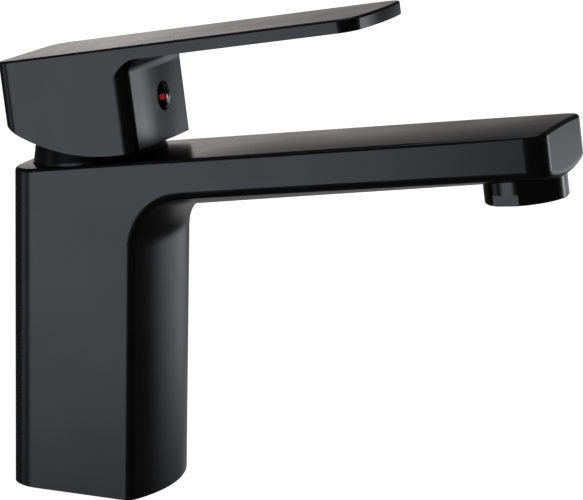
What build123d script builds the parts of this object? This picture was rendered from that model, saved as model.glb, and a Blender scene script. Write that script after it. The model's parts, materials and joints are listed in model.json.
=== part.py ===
"""Single-lever basin mixer with a cantilever spout and a ceramic-disc cartridge.

World frame: +X from the body towards the spout's tip, +Z up, and the origin at the centre of
the base on the deck plane. The top of the body and spout is one plane, tilted up towards the
tip. The cartridge, its cap, the lever and the aerator all stand square to that plane. Their
places are given as (u, w): u runs along the tilted plane from the cartridge axis towards the
tip, and w is the height above the plane.
"""
import os
from math import cos, radians, sin, sqrt

from build123d import *

# ---------------------------------------------------------------- body casting
BODY_LENGTH = 50.0  # along X
BODY_WIDTH = 45.7  # along Y
TOP_HEIGHT = 107.8  # of the tilted top plane above the deck, at x = 0
TOP_TILT = 8.6  # degrees, up towards the spout's tip
UNDERSIDE_HEIGHT = 89.7  # of the spout's underside line, carried back to x = 0
UNDERSIDE_TILT = 9.05  # degrees
BOW_RADIUS = 55.0  # of the bowed front, across the width
TIP_BOW_RADIUS = 80.0  # of the underside's bow at the tip
CROWN_RADIUS = 420.0  # of the slightly crowned top
JUNCTION_RADIUS = 13.5  # between the front and the spout's underside
BACK_CORNER = 11.5
TIP_CORNER = 6.5
BOW_EDGE = 2.7  # round between the flat sides and the bowed face
TOP_EDGE = 1.2
TIP_U = 155.6  # end of the spout
TIP_HALF_WIDTH = 21.8
TAPER_START = 34.6  # u at which the sides begin to draw in

# base chamber, inlets and stud hole
CHAMBER_LENGTH = 40.0
CHAMBER_WIDTH = 37.0
CHAMBER_CORNER = 8.0
CHAMBER_X = -0.8
CHAMBER_TOP = 60.0
INLET_X = 8.0
INLET_RADIUS = 5.0  # M10 x 1
INLET_DEPTH = 12.0
STUD_X = -11.0
STUD_RADIUS = 4.0  # M8
STUD_DEPTH = 14.0
GASKET_HEIGHT = 1.2
WATERWAY_FLOOR = -12.9
WATERWAY_ROOF = -3.2
WATERWAY_WIDTH = 22.0

# ---------------------------------------------------------------- cartridge, heights are w
AXIS_X = -1.5  # where the cartridge axis meets the top plane
SEAT_W = -27.5
SHOULDER_W = -6.5
BORE_RADIUS = 18.0
NUT_THREAD_RADIUS = 19.5  # M39 x 1.5
NUT_TOP_RADIUS = 17.7
NUT_TOP_W = 4.0
SPOT_FACE_W = -0.7
CAP_RADIUS = 21.8  # foot of the cap
CAP_NECK_RADIUS = 21.5
CAP_BORE = 18.1
HOUSING_W = -14.2
HOUSING_TOP = 7.5
HOUSING_RADIUS = 17.5
HOUSING_NECK = 16.0
SEAL_W = -10.0
SEAL_GROOVE_RADIUS = 16.0
BASE_W = -27.3
BASE_WAIST = 14.0  # ring channel that collects the mixed water
DISC_W = -13.5  # underside of the fixed ceramic disc
FIXED_DISC_TOP = -9.7
SLIDE_GAP = 0.03  # between the two ceramic discs
SLIDER_RADIUS = 11.0
DRIVER_W = -6.2
DRIVER_TOP = -2.3
TONGUE_HALF = 5.0
TONGUE_HEIGHT = 0.9
CARRIER_W = -2.1
CARRIER_NECK = 9.82
CARRIER_TOP = 9.8
SLOT_FRONT = 5.2  # of the stem's slot through the carrier
SLOT_BACK = -7.4
PIVOT_W = 3.0
PIN_RADIUS = 1.5
PIN_HALF = 9.2
BLADE_U = 3.6
BLADE_Y = 3.45
BALL_W = -3.6
BALL_RADIUS = 2.2
STEM_HALF = 4.4
STEM_SQUARE_W = 13.2
STEM_TOP = 27.0
PORT_U = 4.0
PORT_Y = 8.0
PORT_RADIUS = 3.5
PORT_SEAL_RADIUS = 5.4
PORT_SEAL_DEPTH = 1.9
OUTLET_U = -7.0
PEG_PLACES = ((-9.0, -11.0), (-9.0, 11.0))
PEG_RADIUS = 1.5
PEG_LENGTH = 2.4

# ---------------------------------------------------------------- lever
LEVER_BACK = -22.4  # u of the block's back face
BLOCK_FRONT = 24.85  # u of the block's bowed front, at its middle
BLOCK_CORNER = 4.4
LEVER_BACK_CORNER = 6.0
LEVER_TIP = 102.5
LEVER_BOW = 105.0  # of the block's front and the plate's tip
LEVER_TIP_CORNER = 6.0
LEVER_TOP_W = 34.85  # at u = 0
LEVER_SLOPE = 0.04
LEVER_TOP_EDGE = 0.8
PLATE_THICKNESS = 4.25
PLATE_ROUND = 5.0  # between the block's front and the plate
LEVER_ARC_RADIUS = 59.0  # convex underside of the block
LEVER_ARC_U = 13.6
LEVER_ARC_W = 1.9
CAVITY_BACK = -20.5
CAVITY_FRONT = 21.4
CAVITY_WIDTH = 42.2
CAVITY_CORNER = 8.0
CAVITY_ROOF = 29.3
BOSS_W = 19.0
BOSS_HALF = 8.5
SCREW_BOSS_RADIUS = 4.5
GRUB_RADIUS = 2.5  # M5
INDEX_W = 16.9
INDEX_RADIUS = 4.8
PLUG_SEAT_U = 22.2
PLUG_RIM_U = 24.3
PLUG_DOME_U = 26.5
MARK_U = 23.8
MARK_Y = 3.0
MARK_RADIUS = 1.0

# ---------------------------------------------------------------- aerator
AERATOR_U = 141.5
AERATOR_W = -23.1  # lower rim
AERATOR_RADIUS = 13.0
AERATOR_THREAD = 11.6  # M24 x 1, at the crest of the housing's thread
AERATOR_SEAT_W = -14.6
AERATOR_THREAD_TOP = -7.2
AERATOR_CHAMBER_RADIUS = 9.0
AERATOR_GASKET_HEIGHT = 0.8
INSERT_W = -22.0
INSERT_RADIUS = 10.4
INSERT_HEIGHT = 6.0
CELL_PITCH = 2.4
SCREEN_PITCH = 2.0
FLAT_Y = 12.2
FLAT_HEIGHT = 3.4
FLAT_TURN = 14.0  # degrees, where the screwed-in housing comes to rest

# ---------------------------------------------------------------- tilted frame
TILT = radians(TOP_TILT)
ALONG = (cos(TILT), 0, sin(TILT))
AXIS = (-sin(TILT), 0, cos(TILT))
AXIS_Z = TOP_HEIGHT + AXIS_X * sin(TILT) / cos(TILT)
HALF = BODY_WIDTH / 2
os.makedirs("parts", exist_ok=True)


def at(u, w, y=0.0):
    """World point of a place in the tilted frame."""
    return (AXIS_X + u * ALONG[0] + w * AXIS[0], y, AXIS_Z + u * ALONG[2] + w * AXIS[2])


def level(w, u=0.0):
    """Plane square to the cartridge axis, at height w."""
    return Plane(origin=at(u, w), x_dir=ALONG, z_dir=AXIS)


def side_plane(y=0.0):
    """Plane through the axis and the spout's length: its x is u and its y is w."""
    return Plane(origin=at(0, 0, y), x_dir=ALONG, z_dir=(0, -1, 0))


def cross_plane(u, w=0.0):
    """Plane square to the spout's length: its x is Y and its y is w."""
    return Plane(origin=at(u, w), x_dir=(0, 1, 0), z_dir=ALONG)


def save(part, name):
    part.label = name
    export_step(part, f"parts/{name}.step")


def line_height(x, height, tilt):
    """Height at x of a line that passes (0, height) and rises at the given angle."""
    return height + x * sin(radians(tilt)) / cos(radians(tilt))


def tilted(x, z):
    """(u, w) of a world point in the middle plane."""
    dx = x - AXIS_X
    dz = z - AXIS_Z
    return (dx * ALONG[0] + dz * ALONG[2], dx * AXIS[0] + dz * AXIS[2])


def bow_depth(y, radius):
    """How far a bowed face falls back from its middle at y."""
    return radius - sqrt(radius**2 - y**2)


def gasket_outline():
    """Ring round the base chamber, drawn in the current sketch."""
    with Locations((CHAMBER_X, 0)):
        RectangleRounded(CHAMBER_LENGTH + 4, CHAMBER_WIDTH + 3.5, CHAMBER_CORNER + 1.5)
        RectangleRounded(CHAMBER_LENGTH + 2, CHAMBER_WIDTH + 1.5, CHAMBER_CORNER + 0.5, mode=Mode.SUBTRACT)


# ================================================================ mixer body
FRONT_X = BODY_LENGTH / 2
corner_z = line_height(FRONT_X, UNDERSIDE_HEIGHT, UNDERSIDE_TILT)
back_top = (-FRONT_X, line_height(-FRONT_X, TOP_HEIGHT, TOP_TILT))
tip_top = at(TIP_U, 0)
far_x = 200.0
far_under = tilted(far_x, line_height(far_x, UNDERSIDE_HEIGHT, UNDERSIDE_TILT))
near_under = tilted(FRONT_X, corner_z)
under_rise = (far_under[1] - near_under[1]) / (far_under[0] - near_under[0])
tip_under_w = near_under[1] + under_rise * (TIP_U - near_under[0])
tip_under = at(TIP_U, tip_under_w)
bend_tangent = JUNCTION_RADIUS * (1 - sin(radians(UNDERSIDE_TILT))) / cos(radians(UNDERSIDE_TILT))
UNDER_ALONG = (cos(radians(UNDERSIDE_TILT)), 0, sin(radians(UNDERSIDE_TILT)))
bend_start = (FRONT_X, 0, corner_z - bend_tangent)
bend_end = (FRONT_X + bend_tangent * UNDER_ALONG[0], 0, corner_z + bend_tangent * UNDER_ALONG[2])
under_far = at(TIP_U + 5, tip_under_w + 5 * under_rise)


def under_plane(point):
    """Plane square to the spout's underside: its x points down and its y along Y."""
    return Plane(origin=point, x_dir=(UNDER_ALONG[2], 0, -UNDER_ALONG[0]), z_dir=UNDER_ALONG)


def bow_section(plane, radius):
    """Face of what lies beyond a bowed face whose middle is at the plane's origin."""
    sag = bow_depth(30, radius)
    with BuildSketch(plane) as section:
        with BuildLine():
            Polyline((-sag, 30), (2, 30), (2, -30), (-sag, -30))
            ThreePointArc((-sag, -30), (0, 0), (-sag, 30))
        make_face()
    return section.sketch


with BuildPart() as mixer_body:
    # side view: upright column, junction and cantilever spout
    with BuildSketch(Plane.XZ):
        with BuildLine():
            Polyline(
                (-FRONT_X, 0),
                back_top,
                (tip_top[0], tip_top[2]),
                (tip_under[0], tip_under[2]),
                (FRONT_X, corner_z),
                (FRONT_X, 0),
                close=True,
            )
        side_outline = make_face()
        fillet(side_outline.vertices().sort_by_distance((FRONT_X, corner_z, 0))[0], JUNCTION_RADIUS)
    extrude(amount=HALF + 5, both=True)

    # plan view, square to the top plane: the sides draw in gently along the spout
    with BuildSketch(level(-160)):
        with BuildLine():
            near_start = (TAPER_START, -HALF)
            near_end = (TIP_U, -TIP_HALF_WIDTH)
            far_start = (TAPER_START, HALF)
            far_end = (TIP_U, TIP_HALF_WIDTH)
            Line((-80, HALF), (-80, -HALF))
            Line((-80, -HALF), near_start)
            TangentArc(near_start, near_end, tangent=(1, 0))
            Line(near_end, far_end)
            TangentArc(far_start, far_end, tangent=(1, 0))
            Line(far_start, (-80, HALF))
        plan_outline = make_face()
        fillet(plan_outline.vertices().group_by(Axis.X)[-1], TIP_CORNER)
    extrude(amount=200, mode=Mode.INTERSECT)

    # crowned top
    crown_sag = bow_depth(30, CROWN_RADIUS)
    with BuildSketch(cross_plane(-60)):
        with BuildLine():
            Polyline((30, -crown_sag), (30, -180), (-30, -180), (-30, -crown_sag))
            ThreePointArc((-30, -crown_sag), (0, 0), (30, -crown_sag))
        make_face()
    extrude(amount=260, mode=Mode.INTERSECT)

    # bowed front that runs round the junction, then along the underside, flatter towards the tip
    with BuildLine() as bend_path:
        Line((FRONT_X, 0, -5), bend_start)
        TangentArc(bend_start, bend_end, tangent=(0, 0, 1))
    front_section = bow_section(Plane(origin=(FRONT_X, 0, -5)), BOW_RADIUS)
    sweep(front_section, path=bend_path.wire(), mode=Mode.SUBTRACT)
    under_sections = [
        bow_section(under_plane(bend_end), BOW_RADIUS),
        bow_section(under_plane(under_far), TIP_BOW_RADIUS),
    ]
    loft(under_sections, mode=Mode.SUBTRACT)

    # rounded back corners, the round along the bowed face, then the top edge
    upright = mixer_body.edges().filter_by(Axis.Z)
    fillet(upright.group_by(Axis.X)[0], BACK_CORNER)
    seam = (FRONT_X - 5, -HALF, CHAMBER_TOP)
    fillet(mixer_body.edges().sort_by_distance(seam)[0], BOW_EDGE)
    rim = at(60, 0, HALF)
    fillet(mixer_body.edges().sort_by_distance(rim)[0], TOP_EDGE)

    # chamber for the supply hoses, open at the base, with the gasket's groove round it
    with BuildSketch(Plane.XY):
        with Locations((CHAMBER_X, 0)):
            RectangleRounded(CHAMBER_LENGTH, CHAMBER_WIDTH, CHAMBER_CORNER)
    extrude(amount=CHAMBER_TOP, mode=Mode.SUBTRACT)
    with BuildSketch(Plane.XY):
        gasket_outline()
    extrude(amount=GASKET_HEIGHT, mode=Mode.SUBTRACT)

    # threaded inlets and stud hole in the chamber's roof
    with BuildSketch(Plane.XY.offset(CHAMBER_TOP)):
        with Locations((INLET_X, -PORT_Y), (INLET_X, PORT_Y)):
            Circle(INLET_RADIUS)
    extrude(amount=INLET_DEPTH, mode=Mode.SUBTRACT)
    with BuildSketch(Plane.XY.offset(CHAMBER_TOP)):
        with Locations((STUD_X, 0)):
            Circle(STUD_RADIUS)
    extrude(amount=STUD_DEPTH, mode=Mode.SUBTRACT)

    # cartridge bore, nut thread and the cap's spot face
    with BuildSketch(level(SEAT_W)):
        Circle(BORE_RADIUS)
    extrude(amount=SHOULDER_W - SEAT_W, mode=Mode.SUBTRACT)
    with BuildSketch(level(SHOULDER_W)):
        Circle(NUT_THREAD_RADIUS)
    extrude(amount=-SHOULDER_W + 5, mode=Mode.SUBTRACT)
    with BuildSketch(level(SPOT_FACE_W)):
        Circle(CAP_RADIUS + 0.1)
    extrude(amount=5, mode=Mode.SUBTRACT)

    # ports from the inlets to the seat, and the holes for the cartridge's pegs
    with BuildSketch(level(SEAT_W)):
        with Locations((PORT_U, -PORT_Y), (PORT_U, PORT_Y)):
            Circle(PORT_RADIUS)
    extrude(amount=-(INLET_DEPTH - 1), mode=Mode.SUBTRACT)
    with BuildSketch(level(SEAT_W)):
        with Locations(*PEG_PLACES):
            Circle(PEG_RADIUS + 0.1)
    extrude(amount=-PEG_LENGTH - 0.8, mode=Mode.SUBTRACT)

    # waterway: up from the bore, along the spout, and over to the aerator
    with BuildSketch(side_plane()):
        with BuildLine():
            Polyline(
                (12, -20),
                (22, -19),
                (34, WATERWAY_FLOOR),
                (124, WATERWAY_FLOOR),
                (124, WATERWAY_ROOF),
                (34, WATERWAY_ROOF),
                (22, -12.5),
                (12, -13),
                close=True,
            )
        make_face()
    extrude(amount=WATERWAY_WIDTH / 2, both=True, mode=Mode.SUBTRACT)
    with BuildSketch(level(AERATOR_THREAD_TOP)):
        with BuildLine():
            Polyline((120, -6), (AERATOR_U, -6), (AERATOR_U, 6), (120, 6), close=True)
        make_face()
        with Locations((AERATOR_U, 0)):
            Circle(AERATOR_CHAMBER_RADIUS)
    extrude(amount=WATERWAY_ROOF - AERATOR_THREAD_TOP, mode=Mode.SUBTRACT)

    # threaded seat of the aerator, with the recess for its collar
    with BuildSketch(level(AERATOR_THREAD_TOP, AERATOR_U)):
        Circle(AERATOR_THREAD)
    extrude(amount=-15, mode=Mode.SUBTRACT)
    with BuildSketch(level(AERATOR_SEAT_W, AERATOR_U)):
        Circle(AERATOR_RADIUS + 0.15)
    extrude(amount=-8, mode=Mode.SUBTRACT)

save(mixer_body.part, "mixer_body")

with BuildPart() as base_gasket:
    with BuildSketch(Plane.XY):
        gasket_outline()
    extrude(amount=GASKET_HEIGHT)
save(base_gasket.part, "base_gasket")


# ================================================================ cap and cartridge
def turned(points, u=0.0, arcs=()):
    """Half section of a turned piece, from (radius, height) points.

    Each arc is (index of the point it starts from, its middle point).
    """
    with BuildSketch(Plane(origin=at(u, 0), x_dir=ALONG, z_dir=(0, -1, 0))) as section:
        with BuildLine():
            for index, start in enumerate(points):
                end = points[(index + 1) % len(points)]
                middle = dict(arcs).get(index)
                if middle:
                    ThreePointArc(start, middle, end)
                else:
                    Line(start, end)
        make_face()
    return section.sketch


def spindle(u=0.0):
    """Axis of revolution parallel to the cartridge axis."""
    return Axis(at(u, 0), AXIS)


with BuildPart() as trim_cap:
    cap_points = [
        (CAP_BORE, SPOT_FACE_W),
        (CAP_RADIUS, SPOT_FACE_W),
        (CAP_RADIUS, 0.35),
        (CAP_NECK_RADIUS, 0.35),
        (20.5, 4.4),
        (13.7, 10.4),
        (12.95, 10.4),
        (12.95, 9.2),
        (CAP_BORE, 4.3),
    ]
    revolve(turned(cap_points, arcs=((4, (18.3, 8.3)), (7, (16.3, 7.3)))), axis=spindle())
save(trim_cap.part, "trim_cap")

with BuildPart() as cartridge_nut:
    nut_points = [
        (HOUSING_NECK + 0.2, SHOULDER_W),
        (NUT_THREAD_RADIUS - 0.05, SHOULDER_W),
        (NUT_THREAD_RADIUS - 0.05, -1.2),
        (NUT_TOP_RADIUS, -1.2),
        (NUT_TOP_RADIUS, NUT_TOP_W),
        (HOUSING_NECK + 0.2, NUT_TOP_W),
    ]
    revolve(turned(nut_points), axis=spindle())
    with BuildSketch(level(NUT_TOP_W)):
        with PolarLocations(0, 4, start_angle=45):
            Rectangle(2 * NUT_THREAD_RADIUS, 4.5)
    extrude(amount=-2, mode=Mode.SUBTRACT)
save(cartridge_nut.part, "cartridge_nut")

with BuildPart() as cartridge_housing:
    housing_points = [
        (14.6, HOUSING_W),
        (HOUSING_RADIUS, HOUSING_W),
        (HOUSING_RADIUS, SEAL_W - 1.2),
        (SEAL_GROOVE_RADIUS, SEAL_W - 1.2),
        (SEAL_GROOVE_RADIUS, SEAL_W + 1.2),
        (HOUSING_RADIUS, SEAL_W + 1.2),
        (HOUSING_RADIUS, SHOULDER_W),
        (HOUSING_NECK, SHOULDER_W),
        (HOUSING_NECK, 3.5),
        (12.6, 3.5),
        (12.6, HOUSING_TOP),
        (CARRIER_NECK + 0.08, HOUSING_TOP),
        (CARRIER_NECK + 0.08, 1.6),
        (14.6, 1.6),
    ]
    revolve(turned(housing_points), axis=spindle())
save(cartridge_housing.part, "cartridge_housing")

with BuildPart() as housing_seal:
    with BuildSketch(side_plane()):
        with Locations((17.0, SEAL_W)):
            Circle(0.98)
    revolve(axis=spindle())
save(housing_seal.part, "housing_seal")

with BuildPart() as cartridge_base:
    base_points = [
        (0, BASE_W),
        (17.3, BASE_W),
        (17.3, -22.0),
        (BASE_WAIST, -22.0),
        (BASE_WAIST, -15.6),
        (17.3, -15.6),
        (17.3, HOUSING_W - 0.05),
        (14.5, HOUSING_W - 0.05),
        (14.5, DISC_W),
        (0, DISC_W),
    ]
    revolve(turned(base_points), axis=spindle())
    with BuildSketch(level(BASE_W)):
        with Locations((PORT_U, -PORT_Y), (PORT_U, PORT_Y)):
            Circle(PORT_RADIUS)
    extrude(amount=DISC_W - BASE_W, mode=Mode.SUBTRACT)
    with BuildSketch(level(BASE_W)):
        with Locations((PORT_U, -PORT_Y), (PORT_U, PORT_Y)):
            Circle(PORT_SEAL_RADIUS + 1.1)
            Circle(PORT_SEAL_RADIUS - 1.1, mode=Mode.SUBTRACT)
    extrude(amount=PORT_SEAL_DEPTH, mode=Mode.SUBTRACT)
    # mixed water drops through the outlet and leaves at the waist
    with BuildSketch(level(DISC_W)):
        with Locations((OUTLET_U, 0)):
            Circle(PORT_RADIUS)
    extrude(amount=-7.5, mode=Mode.SUBTRACT)
    with BuildSketch(level(-21.0)):
        with Locations((OUTLET_U - 6, 0)):
            Rectangle(12, 2 * PORT_RADIUS)
    extrude(amount=4.5, mode=Mode.SUBTRACT)
    with BuildSketch(level(BASE_W)):
        with Locations(*PEG_PLACES):
            Circle(PEG_RADIUS)
    extrude(amount=-PEG_LENGTH)
save(cartridge_base.part, "cartridge_base")

for side, name in ((-1, "port_seal_hot"), (1, "port_seal_cold")):
    with BuildPart() as port_seal:
        with BuildSketch(side_plane(side * PORT_Y)):
            with Locations((PORT_U + PORT_SEAL_RADIUS, SEAT_W + 1.02)):
                Circle(1.0)
        revolve(axis=Axis(at(PORT_U, 0, side * PORT_Y), AXIS))
    save(port_seal.part, name)

with BuildPart() as fixed_ceramic_disc:
    with BuildSketch(level(DISC_W)):
        Circle(14.3)
        with Locations((PORT_U, -PORT_Y), (PORT_U, PORT_Y), (OUTLET_U, 0)):
            Circle(PORT_RADIUS - 0.2, mode=Mode.SUBTRACT)
    extrude(amount=FIXED_DISC_TOP - DISC_W)
save(fixed_ceramic_disc.part, "fixed_ceramic_disc")

with BuildPart() as moving_ceramic_disc:
    with BuildSketch(level(FIXED_DISC_TOP + SLIDE_GAP)):
        Circle(SLIDER_RADIUS)
    extrude(amount=DRIVER_W - FIXED_DISC_TOP - SLIDE_GAP)
    # shallow pocket that joins the outlet to the inlets once the disc has slid forward
    with BuildSketch(level(FIXED_DISC_TOP)):
        with Locations((-3.3, 0)):
            Circle(6.8)
    extrude(amount=1.8, mode=Mode.SUBTRACT)
save(moving_ceramic_disc.part, "moving_ceramic_disc")

with BuildPart() as disc_driver:
    with BuildSketch(level(DRIVER_W)):
        Circle(SLIDER_RADIUS)
    extrude(amount=DRIVER_TOP - DRIVER_W)
    with BuildSketch(level(DRIVER_TOP)):
        Rectangle(16, 2 * TONGUE_HALF)
    extrude(amount=TONGUE_HEIGHT)
    with BuildSketch(level(DRIVER_W)):
        Circle(BALL_RADIUS + 0.12)
    extrude(amount=6, mode=Mode.SUBTRACT)
save(disc_driver.part, "disc_driver")

with BuildPart() as cartridge_carrier:
    carrier_points = [
        (0, CARRIER_W),
        (14.2, CARRIER_W),
        (14.2, 1.45),
        (CARRIER_NECK, 1.45),
        (CARRIER_NECK, CARRIER_TOP),
        (0, CARRIER_TOP),
    ]
    revolve(turned(carrier_points), axis=spindle())
    # guide groove for the driver's tongue, slot for the stem, and the pin's cross hole
    with BuildSketch(level(CARRIER_W)):
        Rectangle(40, 2 * TONGUE_HALF + 0.2)
    extrude(amount=TONGUE_HEIGHT, mode=Mode.SUBTRACT)
    with BuildSketch(level(CARRIER_W)):
        with Locations(((SLOT_FRONT + SLOT_BACK) / 2, 0)):
            Rectangle(SLOT_FRONT - SLOT_BACK, 2 * BLADE_Y + 0.3)
    extrude(amount=CARRIER_TOP - CARRIER_W, mode=Mode.SUBTRACT)
    with BuildSketch(side_plane()):
        with Locations((0, PIVOT_W)):
            Circle(PIN_RADIUS)
    extrude(amount=PIN_HALF, both=True, mode=Mode.SUBTRACT)
save(cartridge_carrier.part, "cartridge_carrier")

with BuildPart() as pivot_pin:
    with BuildSketch(side_plane()):
        with Locations((0, PIVOT_W)):
            Circle(PIN_RADIUS)
    extrude(amount=PIN_HALF, both=True)
save(pivot_pin.part, "pivot_pin")

with BuildPart() as temperature_limiter:
    with BuildSketch(level(HOUSING_TOP)):
        Circle(12.4)
        with PolarLocations(12.0, 12):
            Rectangle(1.6, 1.4)
        Circle(CARRIER_NECK + 0.3, mode=Mode.SUBTRACT)
    extrude(amount=2.0)
save(temperature_limiter.part, "temperature_limiter")

with BuildPart() as stem:
    with BuildSketch(level(0)):
        Rectangle(2 * BLADE_U, 2 * BLADE_Y)
    extrude(amount=STEM_SQUARE_W)
    with BuildSketch(level(STEM_SQUARE_W)):
        RectangleRounded(2 * STEM_HALF, 2 * STEM_HALF, 0.8)
    extrude(amount=STEM_TOP - STEM_SQUARE_W)
    with BuildSketch(level(BALL_W)):
        Circle(1.3)
    extrude(amount=-BALL_W + 0.5)
    with BuildSketch(side_plane()):
        with Locations((0, BALL_W)):
            Circle(BALL_RADIUS)
            Rectangle(BALL_RADIUS, 2 * BALL_RADIUS, align=(Align.MAX, Align.CENTER), mode=Mode.SUBTRACT)
    revolve(axis=spindle())
    with BuildSketch(side_plane()):
        with Locations((0, PIVOT_W)):
            Circle(PIN_RADIUS + 0.05)
    extrude(amount=HALF, both=True, mode=Mode.SUBTRACT)
save(stem.part, "stem")


# ================================================================ lever handle
def lever_top(u):
    """Height of the lever's top face."""
    return LEVER_TOP_W + LEVER_SLOPE * u


PLATE_UNDERSIDE = Plane(
    origin=at(0, LEVER_TOP_W - PLATE_THICKNESS),
    x_dir=tuple(a + LEVER_SLOPE * b for a, b in zip(ALONG, AXIS)),
    z_dir=tuple(b - LEVER_SLOPE * a for a, b in zip(ALONG, AXIS)),
)

with BuildPart() as under_plate:
    # space below the plate and in front of the block, with the inner round along its top edge
    bow_corner = (BLOCK_FRONT - bow_depth(HALF, LEVER_BOW), HALF)
    with BuildSketch(PLATE_UNDERSIDE):
        with BuildLine():
            Polyline(
                bow_corner,
                (-60, HALF),
                (-60, 60),
                (160, 60),
                (160, -60),
                (-60, -60),
                (-60, -HALF),
                (bow_corner[0], -HALF),
            )
            ThreePointArc(bow_corner, (BLOCK_FRONT, 0), (bow_corner[0], -HALF))
        gap_outline = make_face()
        corners = [
            gap_outline.vertices().sort_by_distance((bow_corner[0], side * HALF, 0))[0] for side in (-1, 1)
        ]
        fillet(corners, BLOCK_CORNER)
    extrude(amount=60, dir=tuple(-part for part in AXIS))
    front_edge = PLATE_UNDERSIDE.from_local_coords((BLOCK_FRONT, 0, 0))
    fillet(under_plate.edges().sort_by_distance(front_edge)[0], PLATE_ROUND)

with BuildPart() as lever_handle:
    # plan view: straight back with rounded corners, gently bowed tip
    tip_corner_u = LEVER_TIP - bow_depth(HALF, LEVER_BOW)
    with BuildSketch(level(0)) as lever_plan:
        with BuildLine():
            Polyline((tip_corner_u, HALF), (LEVER_BACK, HALF), (LEVER_BACK, -HALF), (tip_corner_u, -HALF))
            ThreePointArc((tip_corner_u, -HALF), (LEVER_TIP, 0), (tip_corner_u, HALF))
        make_face()
        fillet(lever_plan.vertices().group_by(Axis.X)[0], LEVER_BACK_CORNER)
        fillet(lever_plan.vertices().group_by(Axis.X)[-1], LEVER_TIP_CORNER)
    extrude(amount=60)

    # side view: flat top, and a convex underside that clears the body as the lever lifts
    arc_end = LEVER_ARC_W + bow_depth(45, LEVER_ARC_RADIUS)
    with BuildSketch(side_plane()):
        with BuildLine():
            ThreePointArc(
                (LEVER_ARC_U - 45, arc_end), (LEVER_ARC_U, LEVER_ARC_W), (LEVER_ARC_U + 45, arc_end)
            )
            Polyline(
                (LEVER_ARC_U + 45, arc_end),
                (120, arc_end),
                (120, lever_top(120)),
                (LEVER_ARC_U - 45, lever_top(LEVER_ARC_U - 45)),
                (LEVER_ARC_U - 45, arc_end),
            )
        make_face()
    extrude(amount=HALF + 5, both=True, mode=Mode.INTERSECT)
    add(under_plate.part, mode=Mode.SUBTRACT)
    lever_rim = at(60, lever_top(60), HALF)
    fillet(lever_handle.edges().sort_by_distance(lever_rim)[0], LEVER_TOP_EDGE)

    # hollow of the block, with the stem's boss and the grub screw's boss in it
    with BuildSketch(level(0)):
        with Locations(((CAVITY_FRONT + CAVITY_BACK) / 2, 0)):
            RectangleRounded(CAVITY_FRONT - CAVITY_BACK, CAVITY_WIDTH, CAVITY_CORNER)
    extrude(amount=CAVITY_ROOF, mode=Mode.SUBTRACT)
    with BuildSketch(level(BOSS_W)):
        RectangleRounded(2 * BOSS_HALF, 2 * BOSS_HALF, 3)
    extrude(amount=CAVITY_ROOF - BOSS_W + 0.5)
    with BuildSketch(cross_plane(0, INDEX_W)):
        Circle(SCREW_BOSS_RADIUS)
    extrude(amount=CAVITY_FRONT + 1)
    with BuildSketch(level(0)):
        RectangleRounded(2 * STEM_HALF + 0.1, 2 * STEM_HALF + 0.1, 0.8)
    extrude(amount=STEM_TOP + 0.3, mode=Mode.SUBTRACT)
    with BuildSketch(level(0)):
        with Locations((-10, 0)):
            Rectangle(20, 20)
    extrude(amount=BOSS_W, mode=Mode.SUBTRACT)

    # grub screw's thread and the index plug's recess
    with BuildSketch(cross_plane(0, INDEX_W)):
        Circle(GRUB_RADIUS)
    extrude(amount=BLOCK_FRONT + 1, mode=Mode.SUBTRACT)
    with BuildSketch(cross_plane(PLUG_SEAT_U, INDEX_W)):
        Circle(INDEX_RADIUS)
    extrude(amount=10, mode=Mode.SUBTRACT)
save(lever_handle.part, "lever_handle")

with BuildPart() as grub_screw:
    with BuildSketch(cross_plane(STEM_HALF + 0.05, INDEX_W)):
        Circle(GRUB_RADIUS - 0.05)
    extrude(amount=9)
    with BuildSketch(cross_plane(STEM_HALF + 6, INDEX_W)):
        RegularPolygon(1.44, 6)
    extrude(amount=5, mode=Mode.SUBTRACT)
save(grub_screw.part, "grub_screw")

with BuildPart() as plug_blank:
    plug_radius = INDEX_RADIUS - 0.05
    with BuildSketch(side_plane()):
        with BuildLine():
            Polyline(
                (PLUG_DOME_U, INDEX_W),
                (PLUG_SEAT_U, INDEX_W),
                (PLUG_SEAT_U, INDEX_W + plug_radius),
                (PLUG_RIM_U, INDEX_W + plug_radius),
            )
            ThreePointArc(
                (PLUG_RIM_U, INDEX_W + plug_radius),
                (PLUG_RIM_U + 0.8 * (PLUG_DOME_U - PLUG_RIM_U), INDEX_W + 0.5 * plug_radius),
                (PLUG_DOME_U, INDEX_W),
            )
        make_face()
    revolve(axis=Axis(at(0, INDEX_W), ALONG))

with BuildPart() as index_plug:
    add(plug_blank.part)
    with BuildSketch(cross_plane(MARK_U, INDEX_W)):
        with Locations((-MARK_Y, 0), (MARK_Y, 0)):
            Circle(MARK_RADIUS)
    extrude(amount=10, mode=Mode.SUBTRACT)
save(index_plug.part, "index_plug")

for side, name in ((-1, "index_mark_hot"), (1, "index_mark_cold")):
    with BuildPart() as index_mark:
        add(plug_blank.part)
        with BuildSketch(cross_plane(MARK_U, INDEX_W)):
            with Locations((side * MARK_Y, 0)):
                Circle(MARK_RADIUS)
        extrude(amount=10, mode=Mode.INTERSECT)
    save(index_mark.part, name)


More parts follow.
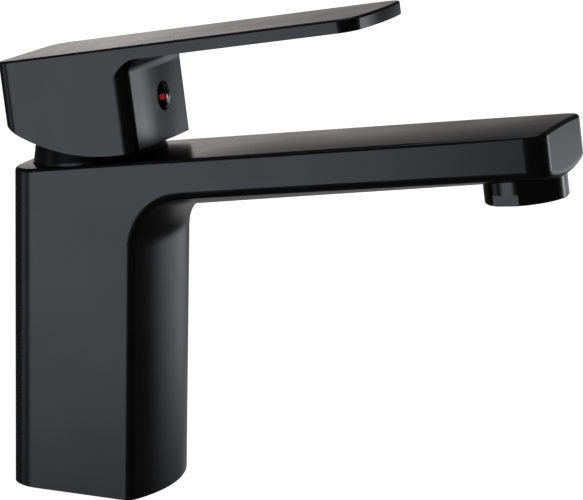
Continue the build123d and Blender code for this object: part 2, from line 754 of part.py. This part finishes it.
# ================================================================ aerator
with BuildPart() as aerator_housing:
    housing_ring = [
        (10.0, AERATOR_W),
        (AERATOR_RADIUS - 0.5, AERATOR_W),
        (AERATOR_RADIUS, AERATOR_W + 0.5),
        (AERATOR_RADIUS, AERATOR_SEAT_W),
        (AERATOR_THREAD - 0.05, AERATOR_SEAT_W),
        (AERATOR_THREAD - 0.05, AERATOR_THREAD_TOP - AERATOR_GASKET_HEIGHT),
        (INSERT_RADIUS + 0.05, AERATOR_THREAD_TOP - AERATOR_GASKET_HEIGHT),
        (INSERT_RADIUS + 0.05, INSERT_W),
        (10.0, INSERT_W),
    ]
    revolve(turned(housing_ring, u=AERATOR_U), axis=spindle(AERATOR_U))
    # two flats for the key
    with BuildSketch(level(AERATOR_W - 1, AERATOR_U)):
        with PolarLocations(FLAT_Y + 2, 2, start_angle=90 - FLAT_TURN):
            Rectangle(4, 30)
    extrude(amount=FLAT_HEIGHT + 1, mode=Mode.SUBTRACT)
save(aerator_housing.part, "aerator_housing")

with BuildPart() as aerator_insert:
    with BuildSketch(level(INSERT_W, AERATOR_U)):
        Circle(INSERT_RADIUS)
        Circle(0.95, mode=Mode.SUBTRACT)
        for ring in (1, 2, 3):
            with PolarLocations(ring * CELL_PITCH, 6 * ring):
                Circle(0.95, mode=Mode.SUBTRACT)
    extrude(amount=INSERT_HEIGHT)
save(aerator_insert.part, "aerator_insert")

with BuildPart() as aerator_screen:
    with BuildSketch(level(INSERT_W + INSERT_HEIGHT, AERATOR_U)):
        Circle(INSERT_RADIUS)
        for ring in (1, 2, 3, 4):
            with PolarLocations(ring * SCREEN_PITCH, 6 * ring):
                Circle(0.5, mode=Mode.SUBTRACT)
    extrude(amount=0.6)
save(aerator_screen.part, "aerator_screen")

with BuildPart() as aerator_gasket:
    with BuildSketch(level(AERATOR_THREAD_TOP - AERATOR_GASKET_HEIGHT, AERATOR_U)):
        Circle(AERATOR_THREAD - 0.1)
        Circle(AERATOR_CHAMBER_RADIUS + 0.3, mode=Mode.SUBTRACT)
    extrude(amount=AERATOR_GASKET_HEIGHT)
save(aerator_gasket.part, "aerator_gasket")
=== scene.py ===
"""Looks of the single-lever basin mixer: finishes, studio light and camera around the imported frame."""
import json
from math import cos, radians, sin

import bmesh
import bpy
from mathutils import Matrix, Vector

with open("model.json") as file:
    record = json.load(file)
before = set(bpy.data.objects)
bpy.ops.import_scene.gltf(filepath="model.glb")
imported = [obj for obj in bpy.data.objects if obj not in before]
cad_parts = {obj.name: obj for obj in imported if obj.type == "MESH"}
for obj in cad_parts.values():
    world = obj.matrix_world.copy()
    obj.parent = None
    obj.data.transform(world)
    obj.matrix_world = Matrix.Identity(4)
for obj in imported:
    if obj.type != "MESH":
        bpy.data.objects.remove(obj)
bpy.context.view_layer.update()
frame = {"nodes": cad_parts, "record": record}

WHITE = (1, 1, 1)
WARM = (1.0, 0.95, 0.93)
COOL = (0.91, 0.935, 1.0)
SURROUND = 0.04  # strength of the surroundings in reflections

FLOOR_REACH = 6.0
FLOOR_CELLS = 8
FLOOR_DROP = 0.0002  # below the foot of the body, so that the two faces don't coincide
FLOOR_GLOW = 1.0

# a noise texture's values that are mapped to the two ends of a range
NOISE_LOW = 0.3
NOISE_HIGH = 0.7
MICRON = 1e-6

# camera, in metres, with its lens and sensor in millimetres
AZIMUTH = radians(21.39)
ELEVATION = radians(12.78)
ROLL = radians(1.08)
DISTANCE = 0.9688
LENS = 189.7
SENSOR = 36.0
LOOK_AT = Vector((0.0650, 0.0, 0.0822))


# ---------------------------------------------------------------- node helpers
class Tree:
    """A material's node tree, with short calls for the nodes used here."""

    def __init__(self, name):
        self.material = bpy.data.materials.new(name)
        self.material.use_nodes = True
        self.nodes = self.material.node_tree.nodes
        self.links = self.material.node_tree.links
        self.shader = self.nodes["Principled BSDF"]
        self.place = self.nodes.new("ShaderNodeTexCoord").outputs["Object"]

    def set(self, **values):
        for key, value in values.items():
            self.shader.inputs[key.replace("_", " ")].default_value = value

    def add(self, kind, inputs):
        node = self.nodes.new(kind)
        for key, value in inputs.items():
            if isinstance(value, bpy.types.NodeSocket):
                self.links.new(value, node.inputs[key])
            else:
                node.inputs[key].default_value = value
        return node

    def noise(self, scale, detail=3.0, roughness=0.5, stretch=None):
        place = self.place
        if stretch:
            place = self.add("ShaderNodeMapping", {"Vector": place, "Scale": stretch}).outputs[0]
        values = {"Vector": place, "Scale": scale, "Detail": detail, "Roughness": roughness}
        return self.add("ShaderNodeTexNoise", values).outputs[0]

    def between(self, factor, low, high):
        values = {0: factor, "From Min": NOISE_LOW, "From Max": NOISE_HIGH, "To Min": low, "To Max": high}
        return self.add("ShaderNodeMapRange", values).outputs[0]

    def colours(self, factor, dark, light):
        ramp = self.add("ShaderNodeValToRGB", {0: factor})
        ramp.color_ramp.elements[0].position = NOISE_LOW
        ramp.color_ramp.elements[0].color = (*dark, 1)
        ramp.color_ramp.elements[1].position = NOISE_HIGH
        ramp.color_ramp.elements[1].color = (*light, 1)
        return ramp.outputs[0]

    def bump(self, height, strength, depth):
        values = {"Height": height, "Strength": strength, "Distance": depth}
        return self.add("ShaderNodeBump", values).outputs[0]

    def drive(self, socket, output):
        self.links.new(output, self.shader.inputs[socket])


def spread(colour, amount):
    """The colour darkened and lightened by the given share."""
    return [(1 - amount) * part for part in colour], [(1 + amount) * part for part in colour]


def black_paint(name, colour, rough, grain, shine=0.5):
    """Fine-grained black coating, with a slight unevenness in tone and sheen."""
    tree = Tree(name)
    cloud = tree.noise(38, 4)
    fine = tree.noise(2600, 2, 0.6)
    tree.drive("Base Color", tree.colours(cloud, *spread(colour, 0.14)))
    tree.drive("Roughness", tree.between(cloud, rough - 0.025, rough + 0.025))
    tree.drive("Normal", tree.bump(fine, grain, 40 * MICRON))
    tree.set(IOR=1.5, Specular_IOR_Level=shine)
    return tree.material


def rubber(name, colour):
    """Dull elastomer with a fine moulded texture."""
    tree = Tree(name)
    cloud = tree.noise(160)
    tree.drive("Base Color", tree.colours(cloud, *spread(colour, 0.3)))
    tree.drive("Roughness", tree.between(cloud, 0.62, 0.78))
    tree.drive("Normal", tree.bump(tree.noise(1800, 2), 0.2, 60 * MICRON))
    return tree.material


def plastic(name, colour, rough, variation=0.08, **extra):
    """Moulded plastic with a faint flow pattern and a fine spark-eroded grain."""
    tree = Tree(name)
    flow = tree.noise(70, stretch=(1, 1, 0.35))
    tree.drive("Base Color", tree.colours(flow, *spread(colour, variation)))
    tree.drive("Roughness", tree.between(flow, rough - 0.04, rough + 0.04))
    tree.drive("Normal", tree.bump(tree.noise(2200, 2), 0.1, 40 * MICRON))
    tree.set(**extra)
    return tree.material


def metal(name, dark, light, rough, stretch):
    """Machined or drawn metal, with tool marks across one direction."""
    tree = Tree(name)
    marks = tree.noise(900, 4, 0.6, stretch)
    tree.drive("Base Color", tree.colours(tree.noise(90), dark, light))
    tree.drive("Roughness", tree.between(marks, rough - 0.07, rough + 0.09))
    tree.drive("Normal", tree.bump(marks, 0.25, 50 * MICRON))
    tree.set(Metallic=1.0)
    return tree.material


def ceramic(name):
    """Lapped alumina: dense, off-white and faintly mottled."""
    tree = Tree(name)
    mottle = tree.noise(700, 5, 0.65)
    tree.drive("Base Color", tree.colours(mottle, (0.80, 0.77, 0.71), (0.90, 0.88, 0.84)))
    tree.drive("Roughness", tree.between(mottle, 0.16, 0.26))
    tree.drive("Normal", tree.bump(mottle, 0.05, 20 * MICRON))
    return tree.material


# ---------------------------------------------------------------- finishes
SATIN_BLACK = (0.0066, 0.0069, 0.0083)
DEEP_BLACK = (0.004, 0.004, 0.0044)
GLOSS = {"Coat_Weight": 0.6, "Coat_Roughness": 0.05}
# painted light: the red and blue index marks are given emission, so they glow brighter than the lamps
# light them, though they are no lamps
RED_MARK_PAINTED_GLOW = {"Emission_Color": (0.9, 0.04, 0.07, 1), "Emission_Strength": 0.2}
BLUE_MARK_PAINTED_GLOW = {"Emission_Color": (0.04, 0.12, 0.7, 1), "Emission_Strength": 0.1}
FINISHES = {
    "body_paint": black_paint("body_paint", SATIN_BLACK, 0.25, 0.05),
    "lever_paint": black_paint("lever_paint", SATIN_BLACK, 0.25, 0.05),
    "cap_paint": black_paint("cap_paint", DEEP_BLACK, 0.27, 0.04, 0.3),
    "aerator_black": black_paint("aerator_black", DEEP_BLACK, 0.2, 0.03),
    "seal_rubber": rubber("seal_rubber", (0.022, 0.022, 0.023)),
    "nut_brass": metal("nut_brass", (0.62, 0.43, 0.17), (0.80, 0.60, 0.28), 0.34, (1, 1, 12)),
    "steel": metal("steel", (0.48, 0.48, 0.50), (0.66, 0.66, 0.68), 0.32, (10, 1, 1)),
    "cartridge_plastic": plastic("cartridge_plastic", (0.74, 0.74, 0.72), 0.42),
    "base_plastic": plastic("base_plastic", (0.05, 0.055, 0.065), 0.45),
    "limiter_plastic": plastic("limiter_plastic", (0.55, 0.06, 0.04), 0.40),
    "ceramic": ceramic("ceramic"),
    "plug_plastic": plastic("plug_plastic", (0.008, 0.008, 0.009), 0.12, **GLOSS),
    # the index marks carry the painted glow (emission) on top of their own red and blue colour
    "mark_red": plastic("mark_red", (0.85, 0.03, 0.05), 0.25, 0.12, **RED_MARK_PAINTED_GLOW),
    "mark_blue": plastic("mark_blue", (0.03, 0.09, 0.45), 0.25, 0.12, **BLUE_MARK_PAINTED_GLOW),
    "insert_plastic": plastic("insert_plastic", (0.42, 0.44, 0.46), 0.38),
}
SLOT_OF = {part["node"]: part["material_slot"] for part in frame["record"]["subparts"]}
for name, node in frame["nodes"].items():
    node.data.materials.clear()
    node.data.materials.append(FINISHES[SLOT_OF[name]])


# ---------------------------------------------------------------- studio
def floor():
    """Seamless pale floor, large enough to fill the view."""
    mesh = bpy.data.meshes.new("floor")
    shape = bmesh.new()
    bmesh.ops.create_grid(shape, x_segments=FLOOR_CELLS, y_segments=FLOOR_CELLS, size=FLOOR_REACH)
    shape.to_mesh(mesh)
    shape.free()
    ground = bpy.data.objects.new("floor", mesh)
    ground.location = (0, 0, -FLOOR_DROP)
    bpy.context.scene.collection.objects.link(ground)
    tree = Tree("floor")
    tree.drive("Base Color", tree.colours(tree.noise(1.5), (0.90, 0.90, 0.90), (0.93, 0.93, 0.93)))
    tree.set(Roughness=0.9, Emission_Color=(*WHITE, 1), Emission_Strength=FLOOR_GLOW)
    mesh.materials.append(tree.material)
    ground.visible_glossy = False
    ground.visible_diffuse = False
    ground.visible_shadow = False


def soften(lamp, feather):
    """Fades an area lamp's light towards its rim, over the given share of its half-width."""
    lamp.use_nodes = True
    nodes = lamp.node_tree.nodes
    links = lamp.node_tree.links
    split = nodes.new("ShaderNodeSeparateXYZ")
    links.new(nodes.new("ShaderNodeNewGeometry").outputs["Parametric"], split.inputs[0])
    both = nodes.new("ShaderNodeMath")
    both.operation = "MULTIPLY"
    for index in (0, 1):
        inset = nodes.new("ShaderNodeMath")
        inset.operation = "PINGPONG"
        inset.inputs[1].default_value = 0.5  # the middle, so that both rims fade alike
        links.new(split.outputs[index], inset.inputs[0])
        fade = nodes.new("ShaderNodeMapRange")
        fade.interpolation_type = "SMOOTHSTEP"
        fade.inputs["From Max"].default_value = feather / 2
        links.new(inset.outputs[0], fade.inputs[0])
        links.new(fade.outputs[0], both.inputs[index])
    links.new(both.outputs[0], nodes["Emission"].inputs["Strength"])


def softbox(name, place, target, size, power, colour=WHITE, feather=0.5):
    """Rectangular soft light that faces the target."""
    lamp = bpy.data.lights.new(name, "AREA")
    lamp.shape = "RECTANGLE"
    lamp.size, lamp.size_y = size
    lamp.energy = power
    lamp.color = colour
    soften(lamp, feather)
    holder = bpy.data.objects.new(name, lamp)
    holder.location = place
    holder.rotation_euler = (Vector(target) - Vector(place)).to_track_quat("-Z", "Y").to_euler()
    holder.visible_camera = False
    bpy.context.scene.collection.objects.link(holder)


def surroundings():
    """White behind the object, and a dim surround for everything else."""
    world = bpy.data.worlds.new("studio")
    world.use_nodes = True
    nodes = world.node_tree.nodes
    links = world.node_tree.links
    surround = nodes["Background"]
    surround.inputs["Color"].default_value = (*WHITE, 1)
    surround.inputs["Strength"].default_value = SURROUND
    behind = nodes.new("ShaderNodeBackground")
    behind.inputs["Color"].default_value = (*WHITE, 1)
    mix = nodes.new("ShaderNodeMixShader")
    links.new(nodes.new("ShaderNodeLightPath").outputs["Is Camera Ray"], mix.inputs[0])
    links.new(surround.outputs[0], mix.inputs[1])
    links.new(behind.outputs[0], mix.inputs[2])
    links.new(mix.outputs[0], nodes["World Output"].inputs["Surface"])
    bpy.context.scene.world = world


floor()
# each soft light: place, what it faces, size, power, colour and the share of it that fades
softbox("backdrop", (-0.64, 1.30, 0.165), (-0.10, 0.0, 0.14), (1.1, 0.40), 0.95, WARM, 0.8)
softbox("backdrop_left", (-0.68, 1.30, 0.27), (-0.10, 0.0, 0.14), (0.32, 0.16), 0.35, WARM, 1.0)
softbox("low_back", (-0.25, 0.85, -0.38), (0.05, 0.0, 0.09), (1.2, 0.80), 0.75, (0.98, 0.98, 1.0), 0.8)
softbox("overhead", (0.00, 0.05, 1.10), (0.02, 0.0, 0.10), (1.4, 1.4), 4.5)
softbox("front_left", (-0.62, -1.10, -0.07), (0.02, 0.0, 0.08), (1.1, 0.8), 5.2, (0.90, 0.925, 1.0))
softbox("back_right", (0.56, 1.07, -0.13), (0.05, 0.0, 0.05), (1.5, 0.50), 2.1, COOL, 0.7)
softbox("key_right", (0.85, 0.86, 0.08), (0.02, 0.0, 0.10), (0.38, 0.4), 2.7, COOL, 1.0)
softbox("left", (-1.10, -0.35, -0.10), (0.0, 0.0, 0.10), (0.5, 0.7), 0.85, COOL, 0.8)
surroundings()
bpy.context.scene.view_settings.view_transform = "Standard"


# ---------------------------------------------------------------- camera
def place_camera():
    """Camera that looks at LOOK_AT from the given angles, rolled about its own axis."""
    back_axis = Vector((sin(AZIMUTH) * cos(ELEVATION), -cos(AZIMUTH) * cos(ELEVATION), sin(ELEVATION)))
    level_right = (-back_axis).cross(Vector((0, 0, 1))).normalized()
    level_up = back_axis.cross(level_right)
    right_axis = cos(ROLL) * level_right + sin(ROLL) * level_up
    up_axis = cos(ROLL) * level_up - sin(ROLL) * level_right
    lens = bpy.data.cameras.new("camera")
    lens.lens = LENS
    lens.sensor_width = SENSOR
    camera = bpy.data.objects.new("camera", lens)
    turn = Matrix((right_axis, up_axis, back_axis)).transposed().to_4x4()
    camera.matrix_world = Matrix.Translation(LOOK_AT + back_axis * DISTANCE) @ turn
    bpy.context.scene.collection.objects.link(camera)
    bpy.context.scene.camera = camera


place_camera()
